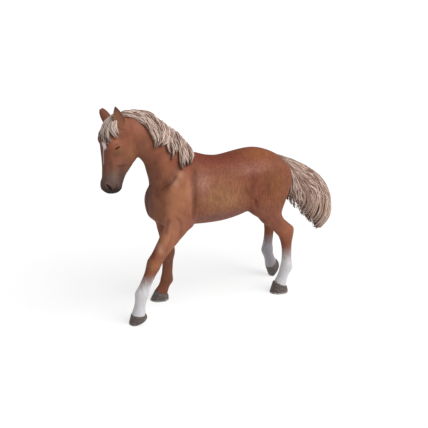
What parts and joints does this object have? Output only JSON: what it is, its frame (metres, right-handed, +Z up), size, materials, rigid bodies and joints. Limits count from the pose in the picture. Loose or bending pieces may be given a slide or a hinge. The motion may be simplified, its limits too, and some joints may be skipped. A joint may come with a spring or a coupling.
{
  "type": "toy horse figurine",
  "caption": "Painted moulded vinyl toy horse, walking, chestnut with flaxen mane and tail and white stockings.",
  "frame": {"origin": "on the floor, under the middle of the figure's box", "axes": "the horse faces -Y, its left side is +X, and +Z is up"},
  "size_m": [0.0329, 0.1431, 0.1166],
  "materials": {
    "coat_paint": "satin paint over moulded vinyl",
    "hair_paint": "dry-brushed matt paint over moulded vinyl",
    "hoof_paint": "satin dark paint, rubbed at the rim",
    "eye_paint": "glossy black-brown paint"
  },
  "bodies": {
    "root": {"trunk": "coat_paint", "neck": "coat_paint", "head": "coat_paint", "ear_left": "coat_paint", "ear_right": "coat_paint", "foreleg_left": "coat_paint", "foreleg_right": "coat_paint", "hindleg_left": "coat_paint", "hindleg_right": "coat_paint", "mane": "hair_paint", "forelock": "hair_paint", "tail": "hair_paint", "hoof_fore_left": "hoof_paint", "hoof_fore_right": "hoof_paint", "hoof_hind_left": "hoof_paint", "hoof_hind_right": "hoof_paint", "eye_left": "eye_paint", "eye_right": "eye_paint"}
  },
  "joints": []
}
